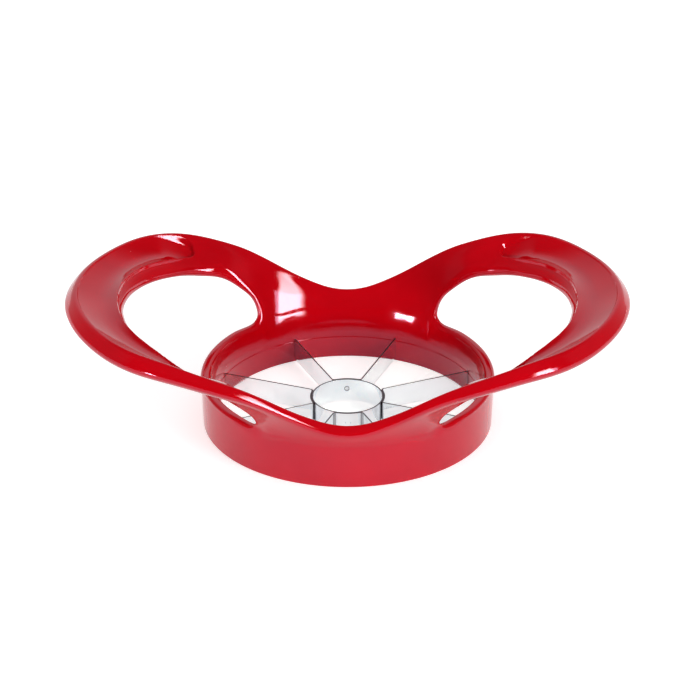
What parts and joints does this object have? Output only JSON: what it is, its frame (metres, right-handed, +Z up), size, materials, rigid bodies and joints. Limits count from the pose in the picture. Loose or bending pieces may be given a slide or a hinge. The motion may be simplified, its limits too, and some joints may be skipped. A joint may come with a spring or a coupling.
{
  "type": "apple slicer",
  "caption": "Press-down apple slicer and corer: a round skirt with thin radial blades about a core tube, and saddle walls that rise into two raised handle loops.",
  "frame": {"origin": "middle of the ring at the height of the table it stands on", "axes": "+X runs along the two handle loops, +Y from front to back, +Z up"},
  "size_m": [0.1946, 0.1096, 0.0496],
  "materials": {
    "moulding": "gloss",
    "core_steel": "satin",
    "weld_steel": "satin",
    "blade_steel": "satin"
  },
  "bodies": {
    "root": {"frame_moulding": "moulding", "core_tube": "core_steel", "spot_welds": "weld_steel", "blade_strip_right": "blade_steel", "blade_strip_back": "blade_steel", "blade_strip_left": "blade_steel", "blade_strip_front": "blade_steel"}
  },
  "joints": []
}
